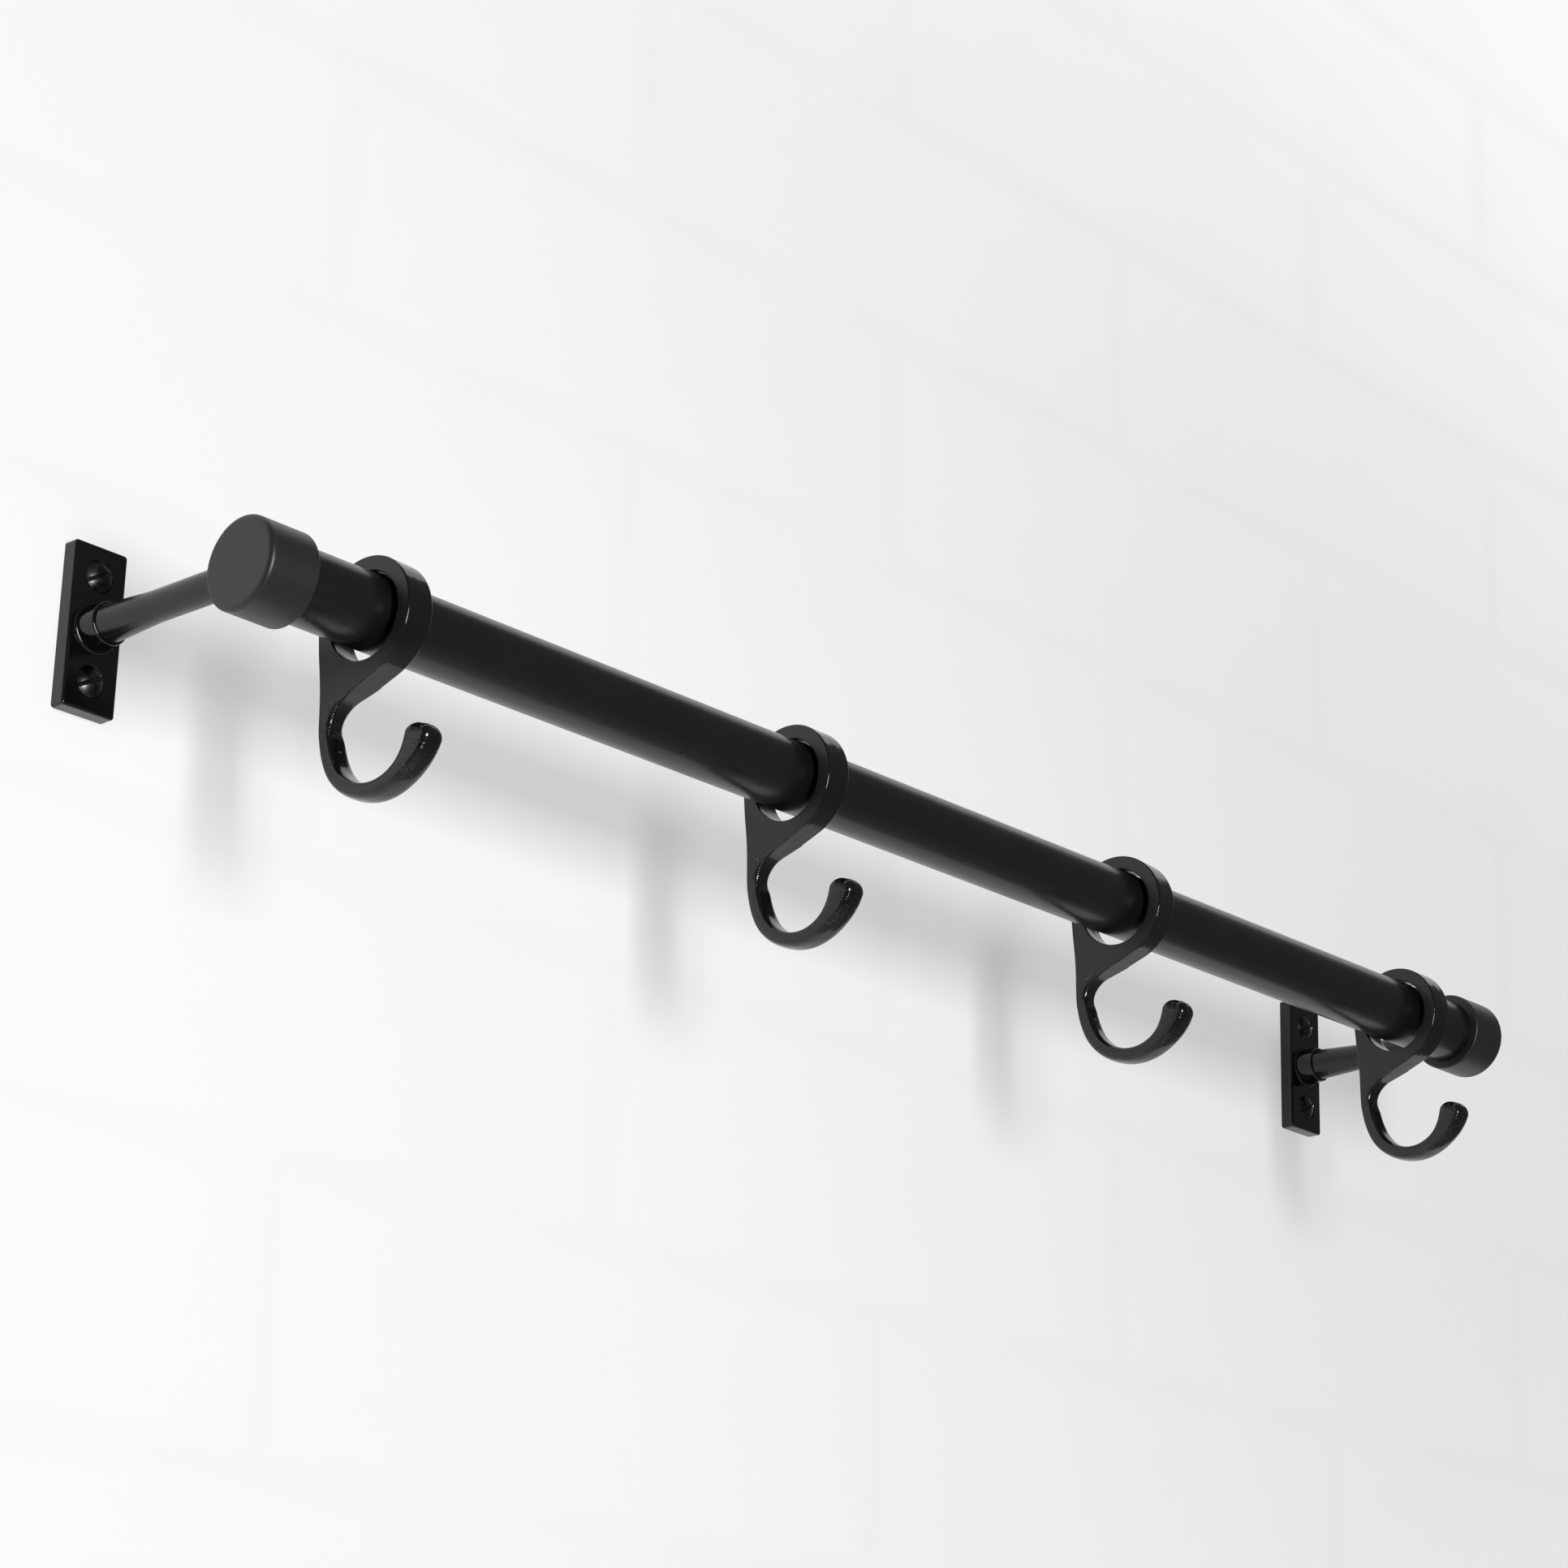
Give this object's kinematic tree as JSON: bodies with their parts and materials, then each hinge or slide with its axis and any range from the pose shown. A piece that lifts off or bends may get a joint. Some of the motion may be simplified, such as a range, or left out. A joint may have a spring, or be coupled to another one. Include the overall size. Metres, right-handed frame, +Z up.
{
  "type": "hanging rail",
  "caption": "Wall-mounted round hanging rail on two stand-off brackets with screwed plates, carrying cast ring hooks that slide along it.",
  "frame": {"origin": "on the wall plane, in the middle of the rectangle of the four wall screws", "axes": "+X along the rail to the right as one faces the wall, +Y into the wall, +Z up"},
  "size_m": [0.5196, 0.1155, 0.0693],
  "materials": {
    "rail": "satin black enamel",
    "caps": "satin black enamel",
    "brackets": "gloss black enamel",
    "hooks": "gloss black japanned casting",
    "wall_screws": "blackened steel, satin",
    "stem_screws": "plain zinc-plated steel"
  },
  "bodies": {
    "rail_assembly": {"rail_tube": "rail", "end_cap_left": "caps", "end_cap_right": "caps", "stem_left": "brackets", "stem_right": "brackets", "wall_plate_left": "brackets", "wall_plate_right": "brackets", "stem_screw_left": "stem_screws", "stem_screw_right": "stem_screws", "wall_screw_left_upper": "wall_screws", "wall_screw_left_lower": "wall_screws", "wall_screw_right_upper": "wall_screws", "wall_screw_right_lower": "wall_screws"},
    "hook_1_body": {"hook_1": "hooks"},
    "hook_2_body": {"hook_2": "hooks"},
    "hook_3_body": {"hook_3": "hooks"},
    "hook_4_body": {"hook_4": "hooks"}
  },
  "joints": [
    {"name": "hook_1_slide", "type": "slide", "parent": "rail_assembly", "child": "hook_1_body", "axis": [1, 0, 0], "range_m": [-0.0219, 0.0696]},
    {"name": "hook_2_slide", "type": "slide", "parent": "rail_assembly", "child": "hook_2_body", "axis": [1, 0, 0], "range_m": [-0.0696, 0.0649]},
    {"name": "hook_3_slide", "type": "slide", "parent": "rail_assembly", "child": "hook_3_body", "axis": [1, 0, 0], "range_m": [-0.0649, 0.0659]},
    {"name": "hook_4_slide", "type": "slide", "parent": "rail_assembly", "child": "hook_4_body", "axis": [1, 0, 0], "range_m": [-0.0659, 0.021]}
  ]
}
